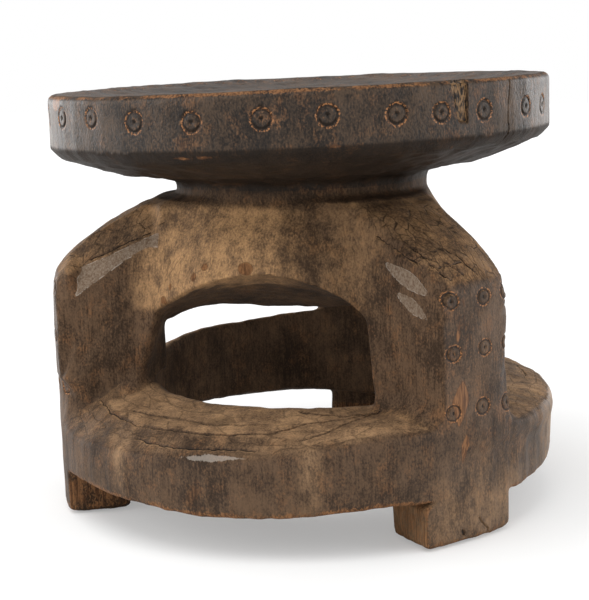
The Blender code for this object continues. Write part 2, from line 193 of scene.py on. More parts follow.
# %% Cracks and gashes
# Each line: half width, depth, and its points as (direction, distance from the axis, height)
LINES = [
    (0.00020, 0.0006, ((341.9, 0.165, 0.2800), (341.0, 0.165, 0.2600), (341.3, 0.165, 0.2420),
                       (341.0, 0.162, 0.2360))),
    (0.00022, 0.0006, ((118.0, 0.165, 0.2800), (117.4, 0.165, 0.2580), (118.2, 0.165, 0.2400))),
    (0.00035, 0.0010, ((330.9, 0.164, 0.0135), (331.8, 0.164, 0.0100), (333.1, 0.164, 0.0055),
                       (333.4, 0.163, 0.0030))),
    (0.00090, 0.0012, ((326.0, 0.164, 0.0080), (326.3, 0.164, 0.0064))),
    (0.00030, 0.0006, ((112.0, 0.164, 0.0600), (113.5, 0.164, 0.0450), (113.0, 0.164, 0.0330))),
    (0.00030, 0.0006, ((86.0, 0.164, 0.1400), (87.0, 0.164, 0.1150), (86.5, 0.164, 0.0950))),
    (0.00045, 0.0008, ((219.2, 0.147, 0.1717), (222.7, 0.127, 0.1810), (230.9, 0.101, 0.1922))),
    (0.00040, 0.0008, ((223.7, 0.146, 0.0774), (232.9, 0.148, 0.0744), (246.6, 0.151, 0.0731),
                       (256.0, 0.151, 0.0732), (266.2, 0.150, 0.0731), (274.0, 0.149, 0.0734),
                       (282.3, 0.146, 0.0740), (291.8, 0.133, 0.0766), (300.2, 0.132, 0.0765),
                       (312.1, 0.127, 0.0779))),
    (0.00030, 0.0006, ((240.0, 0.139, 0.0760), (254.0, 0.138, 0.0762), (268.0, 0.139, 0.0760),
                       (279.0, 0.135, 0.0768))),
    (0.00040, 0.0006, ((250.1, 0.160, 0.0693), (259.0, 0.161, 0.0670), (268.0, 0.160, 0.0680),
                       (280.1, 0.159, 0.0688))),
    (0.00050, 0.0008, ((289.5, 0.119, 0.0795), (300.7, 0.126, 0.0776), (311.8, 0.128, 0.0769))),
    (0.00035, 0.0008, ((290.0, 0.152, 0.0725), (294.5, 0.149, 0.0732), (302.2, 0.139, 0.0750),
                       (312.2, 0.126, 0.0789))),
    (0.00035, 0.0008, ((314.8, 0.116, 0.1855), (319.2, 0.141, 0.1735), (324.3, 0.160, 0.1611))),
    (0.00030, 0.0006, ((324.0, 0.125, 0.1877), (327.7, 0.147, 0.1750), (331.2, 0.161, 0.1619))),
    (0.00025, 0.0006, ((319.0, 0.130, 0.1800), (322.5, 0.148, 0.1710))),
    (0.00030, 0.0006, ((321.0, 0.137, 0.1765), (325.0, 0.152, 0.1690), (327.5, 0.160, 0.1630))),
    (0.00025, 0.0006, ((319.2, 0.141, 0.1735), (322.0, 0.143, 0.1735), (325.5, 0.146, 0.1745))),
    (0.00025, 0.0006, ((317.4, 0.129, 0.1790), (320.5, 0.131, 0.1795), (323.5, 0.135, 0.1800))),
    (0.00025, 0.0006, ((322.0, 0.152, 0.1668), (325.5, 0.155, 0.1680), (328.5, 0.154, 0.1690))),
    (0.00030, 0.0006, ((20.0, 0.150, 0.0735), (36.0, 0.152, 0.0730), (50.0, 0.149, 0.0735))),
    (0.00030, 0.0006, ((134.0, 0.148, 0.0740), (150.0, 0.150, 0.0735), (166.0, 0.147, 0.0740))),
]
print("lines:", len(LINES))

# %% [markdown]
# Later steps ask three things of a point: which mark is nearest, how far off that is in circle radii, and
# how far the point lies across the nearest crack.

# %% Finding marks and lines
BLOCK = 20000
NEARBY = 0.008


def from_axis(points):
    """Distance of each point from the stool's upright axis."""
    return np.hypot(points[:, 0], points[:, 1])


def turned_by(points, turns):
    """Angle in degrees from each of these directions to the points, between -180 and 180."""
    return (np.degrees(np.arctan2(points[:, 1], points[:, 0])) - turns + 180.0) % 360.0 - 180.0


def nearest_mark(points):
    index = np.empty(len(points), dtype=np.int64)
    for start in range(0, len(points), BLOCK):
        block = points[start:start + BLOCK]
        index[start:start + BLOCK] = ((block[:, None] - mark_centres[None]) ** 2).sum(axis=2).argmin(axis=1)
    return index


def mark_offset(points, index):
    """How far along and up each point lies from its mark, in circle radii."""
    along = np.radians(turned_by(points, mark_turn[index])) * mark_bend[index]
    level = np.where(mark_on_dish[index], from_axis(points), points[:, 2]) - mark_level[index]
    return along / mark_circle[index], level / mark_circle[index]


def line_place(points, normals=None):
    """Distance across the nearest line, signed where normals are given, with that line's half width and depth."""
    across = np.full(len(points), 1.0)
    width = np.full(len(points), 0.001)
    depth = np.zeros(len(points))
    for half, deep, path in LINES:
        corners = [np.array((far * cos(radians(turn)), far * sin(radians(turn)), level)) for turn, far, level in path]
        for start, end in zip(corners, corners[1:]):
            boxed = (points > np.minimum(start, end) - NEARBY) & (points < np.maximum(start, end) + NEARBY)
            here = np.flatnonzero(boxed.all(axis=1))
            run = end - start
            gap = points[here] - start
            gap = gap - np.clip(gap @ run / (run @ run), 0.0, 1.0)[:, None] * run
            side = np.ones(len(here))
            if normals is not None:
                gap -= np.einsum("ij,ij->i", gap, normals[here])[:, None] * normals[here]
                side = np.sign(np.einsum("ij,ij->i", np.cross(normals[here], run), gap))
            apart = np.linalg.norm(gap, axis=1)
            closer = apart < np.abs(across[here])
            across[here[closer]] = (apart * side)[closer]
            width[here[closer]] = half
            depth[here[closer]] = deep
    return across, width, depth


print("each mark is its own nearest:", bool((nearest_mark(mark_centres) == np.arange(len(marks))).all()))

# %% [markdown]
# ## Finer mesh where it is needed
# A groove is under two millimetres wide, as fine as the skin itself, so the faces under the rim's and legs' marks,
# the cracks and the notch in the rim are divided. The rest keeps its even, light mesh.

# %% Refine
NOTCH_TURN = 326.8
NOTCH_LOW = 0.2545
NOTCH_HEIGHT = 0.020
NOTCH_HALF = 0.0036
NOTCH_FLARE = 0.0026
FAR_OUTSIDE = -0.01
MARK_BAND = 1.25
LINE_BAND = 0.0034
NOTCH_BAND = 0.0020


def notch(points):
    """Distance inside the notch that is broken out of the rim: positive within it."""
    share = np.clip((points[:, 2] - NOTCH_LOW) / NOTCH_HEIGHT, 0.0, 1.0)
    across = np.abs(np.radians(turned_by(points, NOTCH_TURN + 0.3 - 0.75 * share)) * RIM_RADIUS)
    inside = np.minimum(NOTCH_HALF + NOTCH_FLARE * share - across, points[:, 2] - NOTCH_LOW)
    return np.where(from_axis(points) > 0.157, inside, FAR_OUTSIDE)


def refine(mesh):
    bm = bmesh.new()
    bm.from_mesh(mesh)
    centres = np.array([(edge.verts[0].co + edge.verts[1].co) / 2 for edge in bm.edges])
    along, up = mark_offset(centres, nearest_mark(centres))
    chosen = (np.hypot(along, up) < MARK_BAND) & (from_axis(centres) > 0.140) & (centres[:, 2] < DISH_TOP)
    chosen |= np.abs(line_place(centres)[0]) < LINE_BAND
    chosen |= notch(centres) > -NOTCH_BAND
    bm.edges.ensure_lookup_table()
    edges = [bm.edges[i] for i in np.flatnonzero(chosen)]
    bmesh.ops.subdivide_edges(bm, edges=edges, cuts=2, use_grid_fill=True)
    bmesh.ops.triangulate(bm, faces=[face for face in bm.faces if len(face.verts) > 4])
    bm.to_mesh(mesh)
    bm.free()


refine(skin_mesh)
print("refined:", len(skin_mesh.vertices), "points")

# %% [markdown]
# ## Carving
# The skin is carved by moving its points, in the order a carver would work: first the large forms, then the
# facets, then the blade's strokes, and the marks last. Noise makes each step uneven, as handwork is, and ramps
# fade it out at its borders.

# %% Noise and ramps
def lattice(cells, seed):
    mixed = cells[..., 0] * 374761393 + cells[..., 1] * 668265263 + cells[..., 2] * 2147483647 + seed * 144665
    mixed = (mixed ^ (mixed >> 13)) * 1274126177
    return ((mixed ^ (mixed >> 16)) & 0xFFFF) / 65535.0


def noise(points, size, seed):
    """Smooth noise from -1 to 1 with bumps of about this size in metres."""
    scaled = points / size
    base = np.floor(scaled).astype(np.int64)
    part = scaled - base
    part = part * part * (3.0 - 2.0 * part)
    total = np.zeros(len(points))
    for corner in np.ndindex(2, 2, 2):
        weight = np.prod(np.where(np.array(corner) == 1, part, 1.0 - part), axis=1)
        total += weight * lattice(base + np.array(corner), seed)
    return total * 2.0 - 1.0


def scoops(points, size, seed):
    """Shallow hollows that meet in ridges: 0 in the middle of a stroke, 1 far from any."""
    cell = np.floor(points / size).astype(np.int64)
    nearest = np.full(len(points), 9.0)
    for step in np.ndindex(3, 3, 3):
        here = cell + np.array(step) - 1
        jitter = np.stack([lattice(here, seed + k) for k in range(3)], axis=1)
        nearest = np.minimum(nearest, np.linalg.norm(points / size - here - jitter, axis=1))
    return nearest


def ramp(values, low, high):
    t = np.clip((values - low) / (high - low), 0.0, 1.0)
    return t * t * (3.0 - 2.0 * t)


def leg_axes(points, turn):
    """Distance out along a leg and sideways across it."""
    a = radians(turn)
    return points[:, 0] * cos(a) + points[:, 1] * sin(a), points[:, 1] * cos(a) - points[:, 0] * sin(a)


sample = noise(mark_centres, 0.01, 1)
print("noise at the marks between", round(float(sample.min()), 2), "and", round(float(sample.max()), 2))

# %% [markdown]
# The skin's points are read and written all at once. A point's distance from the mean of its neighbours tells
# worn edges from hollows, so that mean is kept at hand.

# %% Reading the skin
def read_vectors(mesh, kind):
    flat = np.empty(len(mesh.vertices) * 3)
    mesh.vertices.foreach_get(kind, flat)
    return flat.reshape(-1, 3)


def put_points(mesh, points):
    mesh.vertices.foreach_set("co", points.ravel())
    mesh.update()


edge_ends = np.empty(len(skin_mesh.edges) * 2, dtype=np.int64)
skin_mesh.edges.foreach_get("vertices", edge_ends)
edge_ends = edge_ends.reshape(-1, 2)
edge_count = np.bincount(edge_ends.ravel(), minlength=len(skin_mesh.vertices)).astype(float)


def neighbour_mean(values):
    total = np.zeros_like(values)
    for axis in range(values.shape[1]):
        total[:, axis] += np.bincount(edge_ends[:, 0], values[edge_ends[:, 1], axis], len(values))
        total[:, axis] += np.bincount(edge_ends[:, 1], values[edge_ends[:, 0], axis], len(values))
    return total / edge_count[:, None]


def edge_curve(points, normals, rounds):
    """How far each point stands out of its neighbours: positive on edges, negative in hollows."""
    spread = points
    for _ in range(rounds):
        spread = neighbour_mean(spread)
    return np.einsum("ij,ij->i", points - spread, normals)


def relax(points, weight, share, rounds):
    """Draw points towards the mean of their neighbours."""
    for _ in range(rounds):
        points = points + share * weight[:, None] * (neighbour_mean(points) - points)
    return points


print("edges:", len(edge_ends))

# %% [markdown]
# ### Soft hollows
# Legs, hub and ring are cut from one block, and a blade leaves no sharp inner corner between them. So the
# creases are found by their bend, widened a little, and relaxed into hollows.

# %% Relax the creases
CURVE_ROUNDS = 12
CREASE = (0.0003, 0.0012)
points = read_vectors(skin_mesh, "co")
for _ in range(3):
    normals = read_vectors(skin_mesh, "normal")
    hollow = ramp(-edge_curve(points, normals, CURVE_ROUNDS), *CREASE)
    hollow *= ramp(points[:, 2], 0.060, 0.070) * (1.0 - ramp(points[:, 2], 0.204, 0.212))
    hollow *= ramp(from_axis(points), 0.082, 0.090) * ramp(normals[:, 2], -0.30, -0.05)
    for _ in range(6):
        hollow = np.maximum(hollow, neighbour_mean(hollow[:, None])[:, 0])
    points = relax(points, hollow, 0.6, 22)
    put_points(skin_mesh, points)
print("creases eased at", int((hollow > 0.0).sum()), "points")

# %% [markdown]
# ### Where the log was wider
# The log wasn't round, so the base stands out more at the left leg and the ring's underside hangs lower at the
# front. Each easing moves a soft-edged part of the skin, and the crests of the legs are swelled by a few millimetres.

# %% Ease the base
CREST_LOW = 0.125
CREST_TOP = 0.206
CREST_SWELL = 0.0042
# Each easing: direction, half turn, levels (start, full, fading, end), distances (start, full), shift out, shift up
EASES = [(212.0, 70.0, (-0.02, -0.01, 0.135, 0.200), (0.105, 0.135), 0.0050, 0.0),
         (343.0, 45.0, (0.050, 0.065, 0.150, 0.200), (0.120, 0.150), 0.0045, 0.0),
         (20.0, 60.0, (-0.02, -0.01, 0.075, 0.100), (0.105, 0.135), 0.0010, 0.0),
         (272.0, 55.0, (-0.02, -0.01, 0.032, 0.056), (0.120, 0.145), 0.0, -0.0042),
         (313.0, 24.0, (0.052, 0.064, 0.085, 0.100), (0.120, 0.150), 0.0, 0.0050),
         (353.0, 30.0, (-0.02, -0.01, 0.032, 0.056), (0.120, 0.145), 0.0, -0.0060)]


def ease(points, turn, half_turn, levels, reach, outward, upward):
    """Move part of the skin softly: round one direction, between levels, and beyond a distance from the axis."""
    out = from_axis(points)
    weight = np.cos(np.radians(np.clip(turned_by(points, turn) * 90.0 / half_turn, -90.0, 90.0))) ** 2
    weight *= ramp(points[:, 2], levels[0], levels[1]) * (1.0 - ramp(points[:, 2], levels[2], levels[3]))
    weight *= ramp(out, *reach)
    points[:, :2] *= (1.0 + outward * weight / out)[:, None]
    points[:, 2] += upward * weight


for easing in EASES:
    ease(points, *easing)
normals = read_vectors(skin_mesh, "normal")
crest = ramp(normals[:, 2], 0.25, 0.60) * (points[:, 2] > CREST_LOW) * (1.0 - ramp(points[:, 2], 0.198, CREST_TOP))
points[:, 2] += CREST_SWELL * crest * np.sin(pi * np.clip((from_axis(points) - 0.088) / 0.074, 0.0, 1.0))
print("easings:", len(EASES))

# %% [markdown]
# ### The ring's rolled edge and the feet
# Years of heels have rolled the ring's upper edge over at the front, so a slanting plane takes it off and the cut
# is softened. The right foot is wider than the solid's, and all feet are rounded where they are dragged.

# %% Roll the ring's edge and shape the feet
ROLL_TURN, ROLL_FULL, ROLL_NONE = 252.0, 26.0, 44.0
ROLL_OUT, ROLL_UP, ROLL_PLANE = 0.621, 0.784, 0.1508
FOOT_ROUND = 0.0060
FOOT_MIDDLE, FOOT_HALF_DEPTH, FOOT_HALF_WIDTH = 0.142, 0.022, 0.031
out = from_axis(points)
rolled = ramp(np.abs(turned_by(points, ROLL_TURN)), ROLL_NONE, ROLL_FULL) * (points[:, 2] < 0.090)
excess = np.maximum(ROLL_OUT * out + ROLL_UP * points[:, 2] - ROLL_PLANE, 0.0) * rolled
points[:, :2] *= (1.0 - ROLL_OUT * excess / out)[:, None]
points[:, 2] -= ROLL_UP * excess
points = relax(points, rolled * ramp(out, 0.138, 0.146) * ramp(points[:, 2], 0.050, 0.058), 0.5, 14)


def near_leg(along, across):
    return (along > 0.09) * (np.abs(across) < 0.05)


along, across = leg_axes(points, LEG_TURNS["right_leg"])
foot = (1.0 - ramp(points[:, 2], 0.026, 0.031)) * ramp(-across, 0.010, 0.030) * near_leg(along, across)
points[:, :2] -= np.outer(foot * (0.0035 + 0.0057 * ramp(along, 0.118, 0.160)), (0.5, 0.866))
for turn in LEG_TURNS.values():
    along, across = leg_axes(points, turn)
    under = np.clip(points[:, 2] / FOOT_ROUND, 0.0, 1.0)
    pull = FOOT_ROUND * (1.0 - np.sqrt(1.0 - (1.0 - under) ** 2)) * near_leg(along, across)
    back, aside = -(along - FOOT_MIDDLE) / FOOT_HALF_DEPTH * pull, -across / FOOT_HALF_WIDTH * pull
    points[:, 0] += back * cos(radians(turn)) - aside * sin(radians(turn))
    points[:, 1] += back * sin(radians(turn)) + aside * cos(radians(turn))
print("rolled over:", int((excess > 0.0).sum()), "points")

# %% [markdown]
# ### The seat's tilt
# The seat isn't level: it rises to the right by about a degree, and the neck reaches a little further up under it.

# %% Lift the neck and tilt the seat
NECK_LIFT = 0.0038
SEAT_TILT = 0.0150


def tilt_rise(points):
    """How far the tilt lifts the seat at each point."""
    return SEAT_TILT * (points[:, 0] * cos(PHOTO_TURN) + points[:, 1] * sin(PHOTO_TURN))


lifted = ramp(points[:, 2], 0.208, 0.216) * ramp(from_axis(points), 0.124, 0.100) * (points[:, 2] < 0.240)
points[:, 2] += NECK_LIFT * lifted
points[:, 2] += ramp(points[:, 2], 0.206, 0.222) * tilt_rise(points)
print("seat tilted by", round(float(np.degrees(SEAT_TILT)), 2), "degrees")

# %% [markdown]
# ### Facets and chips
# A broad blade planed the legs' shoulders, and later knocks split small lens-shaped chips from them. Each facet is a
# plane in its leg's own axes that pushes back whatever stands above it. A chip is a shallow dent with pointed ends.

# %% Plane the shoulders
# Each facet: leg, side, slope along the leg, slope in height, and offset
FACETS = [("left_leg", 1.0, 0.625, 0.83, 0.2480), ("left_leg", -1.0, 0.60, 0.80, 0.2485),
          ("rear_leg", 1.0, 0.60, 0.82, 0.2515), ("rear_leg", -1.0, 0.62, 0.80, 0.2470)]
# Each chip: leg, side, distance out, height, half length, half width, fall along its length
CHIPS = [("right_leg", -1.0, 0.1370, 0.1622, 0.0195, 0.0050, -0.48),
         ("right_leg", -1.0, 0.1410, 0.1465, 0.0140, 0.0042, -0.55),
         ("left_leg", -1.0, 0.1330, 0.1480, 0.0120, 0.0035, -0.40),
         ("rear_leg", 1.0, 0.1300, 0.1500, 0.0150, 0.0034, -0.45)]
DEEPEST_CUT = 0.012
CHIP_DEPTH = 0.0007


def leg_frame(turn):
    a = radians(turn)
    return np.array([[cos(a), sin(a), 0.0], [-sin(a), cos(a), 0.0], [0.0, 0.0, 1.0]])


def cut_facets(points):
    """Plane the facets; returns how far inside one each point lies, negative outside."""
    inside = np.full(len(points), FAR_OUTSIDE)
    for leg, side, slope, rise, offset in FACETS:
        along, across = leg_axes(points, LEG_TURNS[leg])
        normal = np.array([slope, side, rise])
        size = np.linalg.norm(normal)
        excess = (np.stack([along, across, points[:, 2]], axis=1) @ normal - offset) / size
        hold = ramp(along, 0.096, 0.106) * (1.0 - ramp(along, 0.152, 0.160))
        reach = (across * side > 0) & (points[:, 2] < CREST_TOP) & (points[:, 2] > CREST_LOW) & (along > 0.090)
        move = np.where(reach, np.clip(excess, 0.0, DEEPEST_CUT) * hold, 0.0)
        points -= move[:, None] * (normal / size @ leg_frame(LEG_TURNS[leg]))
        below = 0.92 * (0.1642 + 0.417 * (0.150 - along) - points[:, 2])
        ends = np.minimum(along - 0.099, 0.154 - along) + 0.0025 * noise(points, 0.006, 17)
        band = np.minimum(np.minimum(excess + 0.0004, below), ends)
        inside = np.maximum(inside, np.where(reach, band, FAR_OUTSIDE))
    return inside


def cut_chips(points):
    """Dent the chips; returns how far inside one each point lies, negative outside."""
    inside = np.full(len(points), FAR_OUTSIDE)
    for leg, side, out, height, length, width, fall in CHIPS:
        along, across = leg_axes(points, LEG_TURNS[leg])
        slant = (1.0 + fall * fall) ** 0.5
        run = (along - out + fall * (points[:, 2] - height)) / slant
        rise = (points[:, 2] - height - fall * (along - out)) / slant
        within = (1.0 - np.abs(run / length) ** 1.5 - np.abs(rise / width) ** 1.3) * width
        within = np.where((across * side > 0.015) & (along > 0.100), within, FAR_OUTSIDE)
        push = CHIP_DEPTH * ramp(within, 0.0, 0.0008)
        points -= push[:, None] * (np.array([0.0, side, 0.0]) @ leg_frame(LEG_TURNS[leg]))
        inside = np.maximum(inside, within)
    return inside


facet = cut_facets(points)
facet = np.maximum(facet, cut_chips(points))
print("on facets and chips:", int((facet > 0.0).sum()), "points")

# %% [markdown]
# A knock has left a scuff on the ring's front edge: a long, thin dent, pointed at both ends. Its pale colour in the
# material is a painted highlight.

# %% Scuff the ring's edge
SCUFF_TURN, SCUFF_LEVEL = 270.5, 0.0628
SCUFF_LONG, SCUFF_HIGH = 0.025, 0.0022
scuff_run = np.radians(turned_by(points, SCUFF_TURN)) * LEG_FACE
scuff_rise = points[:, 2] - SCUFF_LEVEL - 0.05 * scuff_run
gleam = (1.0 - np.abs(scuff_run / SCUFF_LONG) - np.abs(scuff_rise / SCUFF_HIGH)) * SCUFF_HIGH
gleam = np.where(from_axis(points) > 0.150, gleam, FAR_OUTSIDE)
points[:, :2] *= 1.0 - 0.004 * ramp(gleam, 0.0, 0.0012)[:, None]
put_points(skin_mesh, points)
print("on the scuff:", int((gleam > 0.0).sum()), "points")

# %% [markdown]
# ### Blade strokes
# The surface of a carved block is never quite even. Broad waves come from the axe, overlapping scoops from the adze,
# deepest under the seat where nobody looks, and a fine upright ripple from the grain.

# %% Carve the strokes
ALONG_GRAIN = np.array([1.0, 1.0, 0.25])
normals = read_vectors(skin_mesh, "normal")
out = from_axis(points)
height = points[:, 2]
on_seat = height > 0.2145
on_rim = on_seat & (out > 0.158)
on_dish = on_seat & (normals[:, 2] > 0.3) & (out < 0.160)
under_seat = on_seat & (normals[:, 2] < -0.25)
depth = 0.0010 * noise(points, 0.055, 3) + 0.0005 * noise(points, 0.020, 4)
strokes = scoops(points * np.array([1.0, 1.0, 0.6]), 0.017, 11)
depth += np.where(under_seat, 0.0022, 0.0008) * (strokes - 0.5) * np.where(on_dish, 0.6, 1.0)
depth[on_rim] *= 0.55
depth[height < 0.004] = 0.0
depth += 0.0004 * noise(points * ALONG_GRAIN, 0.006, 6) * ~on_rim
print("strokes between", round(depth.min() * 1000, 2), "and", round(depth.max() * 1000, 2), "mm")

# %% [markdown]
# ### Marks, cracks and the notch
# A mark is a turned circle with a drilled dot, so its groove is two rounded dips round one centre. Cracks are sunk
# along their lines, which noise makes wander, and the notch in the rim shows rough torn fibres.

# %% Sink marks, cracks and the notch
mark_index = nearest_mark(points)
mark_along, mark_up = mark_offset(points, mark_index)
circle = mark_circle[mark_index]
mark_far = np.hypot(mark_along, mark_up) * circle
groove = np.exp(-(((mark_far - circle) / 0.0008) ** 2)) + 1.15 * np.exp(-((mark_far / 0.0012) ** 2))
small = mark_on_dish[mark_index]
depth -= np.where(small, 0.0004, 0.0007) * groove * np.where(small, height > DISH_TOP, height < DISH_TOP)
line_across, line_width, line_depth = line_place(points, normals)
line_across += 0.0009 * noise(points, 0.0055, 31) + 0.0004 * noise(points, 0.0018, 32)
line_width *= 0.75 + 0.55 * noise(points, 0.009, 33)
depth -= line_depth * (1.0 - ramp(np.abs(line_across) - line_width, 0.0, 0.0006))
broken = ramp(notch(points) + 0.0005 * noise(points, 0.003, 9), -0.0003, 0.0006)
depth -= broken * (0.0022 + 0.0008 * noise(points * np.array([1.0, 1.0, 0.1]), 0.0014, 8))
points += normals * depth[:, None]
points[:, 2] = np.maximum(points[:, 2], 0.0)
put_points(skin_mesh, points)
print("carved between", round(depth.min() * 1000, 2), "and", round(depth.max() * 1000, 2), "mm")

# %% [markdown]
# ## Wear, soot, bare wood and painted light
# The colour follows the use of the stool: edges and shoulders are rubbed to orange brown, hollows and the
# underside keep a dark patina, which also paints the shade that falls there, hands have polished the outer faces,
# and the hub and the ring's top show paler wood; pale paint also stands for the sheen on the ring's right end and
# the light inside the arches. Each of these is stored on the points, and the wood materials read them. The measures
# that
# they share come first: where a point lies, which way it faces, and how sharply the skin bends there.

# %% Shared measures
normals = read_vectors(skin_mesh, "normal")
out = from_axis(points)
height = points[:, 2]
up = normals[:, 2]
outward = (points[:, 0] * normals[:, 0] + points[:, 1] * normals[:, 1]) / np.maximum(out, 1e-6)
seat_level = height - tilt_rise(points)
curve = edge_curve(points, normals, CURVE_ROUNDS)
ragged = 0.5 + 0.5 * noise(points, 0.012, 21)
chipped = 0.5 + 0.5 * noise(points, 0.005, 22)
outer = (outward > 0.6) * (out > 0.150)
inside = (out < 0.1125) & (height < 0.172) & (height > 0.02)
foot_side = (height < 0.029) & (outward < 0.6) & (up > -0.5)
ring_flat = ramp(up, 0.45, 0.85) * (height < 0.125) * (height > 0.058) * (out > 0.100)
crest = ramp(up, 0.35, 0.75) * (height > 0.120) * (height < 0.205) * (out > 0.085)


def patch(centre_turn, centre_height, wide, high):
    """A soft spot, 1 in its middle, given by direction and height on an upright surface."""
    along = np.radians(turned_by(points, centre_turn)) * out
    return np.exp(-((along / wide) ** 2) - ((height - centre_height) / high) ** 2)


def around(centre, full, none):
    """1 within so many degrees of a direction, 0 beyond more."""
    return ramp(np.abs(turned_by(points, centre)), none, full)


def most(*layers):
    """The strongest of several layers at each point."""
    return np.maximum.reduce(layers)


print("sharpest edge stands out by", round(float(curve.max()) * 1000, 2), "mm")

# %% [markdown]
# Smoke and hands leave soot where nothing rubs it off: in hollows, under the seat, round the neck and inside
# the arches. The same layer also paints the shade that falls in these places and on the rim's lower band.

# %% Soot and painted shade
neck_band = np.exp(-(((height - 0.2115) / 0.0065) ** 2)) * (out < 0.105)
# Painted shade as well as soot: creases, the underside of the seat, the rim's lower band, the inside of the arches
# and the neck are darkened.
soot_and_shade = most(0.8 * ramp(-curve, 0.0006, 0.0030),
            0.90 * ((height > 0.207) & (up < -0.1)),
            0.50 * on_rim * ramp(seat_level, 0.2480, 0.2400),
            0.36 * inside * ramp(-outward, -0.1, 0.5),
            0.40 * inside * ramp(-up, 0.2, 0.7),
            0.45 * neck_band)
print("sooty:", int((soot_and_shade > 0.3).sum()), "points")

# %% [markdown]
# Where the patina has gone, paler wood shows: on the hub, on the ring's top and the legs' crests, in a few upright
# streaks on the ring and low down on the feet. The same layer paints the sheen on the ring's right end pale, and a
# faint painted light inside the arches.

# %% Bare wood and painted light
# Each bright patch on the hub: direction, height, half width, half height
HUB_PATCHES = ((268.0, 0.186, 0.022, 0.012), (262.0, 0.179, 0.014, 0.008), (276.5, 0.192, 0.015, 0.010),
               (30.0, 0.186, 0.026, 0.013), (147.0, 0.180, 0.022, 0.014))
# Each streak on the ring: direction and strength; the one at 20 degrees is a painted sheen
RING_STREAKS = ((247.5, 0.55), (292.0, 0.60), (20.0, 0.25), (150.0, 0.50))
hub_zone = ramp(out, 0.078, 0.084) * ramp(out, 0.132, 0.112) * ramp(height, 0.130, 0.142)
hub_zone *= ramp(height, 0.207, 0.199) * ramp(outward, 0.10, 0.35)
on_hub = (out < 0.125) * (out > 0.080)
low_down = (out > 0.110) * ramp(height, 0.075, 0.010)
bare_and_painted_light = most(hub_zone * (0.52 + 0.40 * around(258.0, 14.0, 40.0) - 0.20 * around(302.0, 10.0, 25.0)),
            *(patch(*place) * on_hub for place in HUB_PATCHES),
            ring_flat * (0.50 + 0.45 * ragged) * (0.45 + 0.55 * ramp(up, 0.82, 0.95)),
            0.65 * crest * (0.5 + 0.5 * ragged),
            *(share * patch(turn, 0.058, 0.007, 0.026) * (out > 0.140) for turn, share in RING_STREAKS),
            # Painted sheen: the ring's outer face at its right end is made pale.
            0.90 * around(25.0, 10.0, 45.0) * outer * (height < 0.080),
            # Painted light: the inside of the arches is made a little paler.
            0.15 * inside,
            0.45 * low_down * (0.2 + 0.8 * around(335.0, 10.0, 25.0)),
            foot_side * (0.15 + 0.50 * around(330.0, 30.0, 60.0)))
print("bare:", int((bare_and_painted_light > 0.3).sum()), "points")

# %% [markdown]
# Small spots of orange wood show where the skin has flaked, and flames where slivers split out along the grain.
# Each is kept as a distance inside its outline, so that the material can draw a ragged edge.

# %% Spots and flames
SPOT_LIMIT = 0.006
# Each spot: direction, height, radius of the surface, half width, half height
SPOTS = ((271.9, 0.1673, 0.105, 0.0050, 0.0042), (251.9, 0.1608, 0.107, 0.0026, 0.0028),
         (238.0, 0.1440, 0.109, 0.0024, 0.0026), (256.1, 0.1674, 0.105, 0.0024, 0.0024),
         (225.5, 0.2705, 0.165, 0.0085, 0.0045), (267.5, 0.2396, 0.162, 0.0050, 0.0009),
         (272.6, 0.2401, 0.162, 0.0040, 0.0007), (299.0, 0.2450, 0.165, 0.0060, 0.0008),
         (60.0, 0.2440, 0.165, 0.0080, 0.0010), (170.0, 0.2710, 0.165, 0.0070, 0.0040),
         (241.0, 0.1530, 0.108, 0.0018, 0.0022), (33.0, 0.1640, 0.106, 0.0040, 0.0030))
# Each flame: direction at its top and foot, low and high end, widest share, half width
FLAMES = ((325.6, 324.3, 0.0740, 0.1032, 0.55, 0.0064), (326.2, 325.9, 0.0500, 0.0702, 0.60, 0.0032),
          (336.7, 336.7, 0.0950, 0.1008, 0.50, 0.0011), (325.0, 324.1, 0.1236, 0.1402, 0.35, 0.0017),
          (208.0, 207.0, 0.0920, 0.1100, 0.60, 0.0036), (92.0, 93.0, 0.0560, 0.0760, 0.55, 0.0040))
spot = np.full(len(points), -SPOT_LIMIT)
for turn, level, radius, wide, high in SPOTS:
    along = np.radians(turned_by(points, turn)) * radius
    within = (1.0 - np.hypot(along / wide, (height - level) / high)) * min(wide, high)
    spot = np.where(np.abs(out - radius) < 0.012, np.maximum(spot, within), spot)
for top_turn, foot_turn, low, high, widest, wide in FLAMES:
    share = np.clip((height - low) / (high - low), 0.0, 1.0)
    along = np.abs(np.radians(turned_by(points, foot_turn + (top_turn - foot_turn) * share)) * LEG_FACE)
    half = wide * np.minimum(share / widest, (1.0 - share) / (1.0 - widest)) ** 0.8
    spot = np.where(out > 0.150, np.maximum(spot, half - along - 0.0001), spot)
print("on spots and flames:", int((spot > 0.0).sum()), "points")

# %% [markdown]
# Rubbing brings out orange wood on every edge: most on the seat's lip, the ring's lower edge and the feet.

# %% Worn edges
wear = 0.75 * ramp(curve, 0.0005, 0.0020) * (0.30 + 0.70 * ragged)
wear[on_rim] *= 0.4
lip = ramp(seat_level, 0.2746, 0.2758) * ramp(out, 0.1605, 0.1630)
foot_edge = ramp(curve, 0.0003, 0.0012) * (height < 0.040) * (out > 0.15)
low_edge = ramp(-up, 0.10, 0.40) * ramp(outward, 0.15, 0.45) * (height < 0.042) * (height > 0.012) * (out > 0.150)
wear = most(wear,
            lip * (0.15 + 0.55 * ragged + 0.45 * chipped),
            0.75 * foot_edge * (0.4 + 0.6 * ragged),
            0.60 * foot_side,
            low_edge * (0.35 + 0.45 * ragged + 0.30 * chipped),
            0.55 * patch(256.0, 0.2175, 0.028, 0.0030) * (out < 0.11),
            0.60 * on_rim * patch(NOTCH_TURN, RIM_ROW, 0.0085, 0.012),
            0.45 * on_rim * patch(289.0, RIM_ROW, 0.010, 0.006))
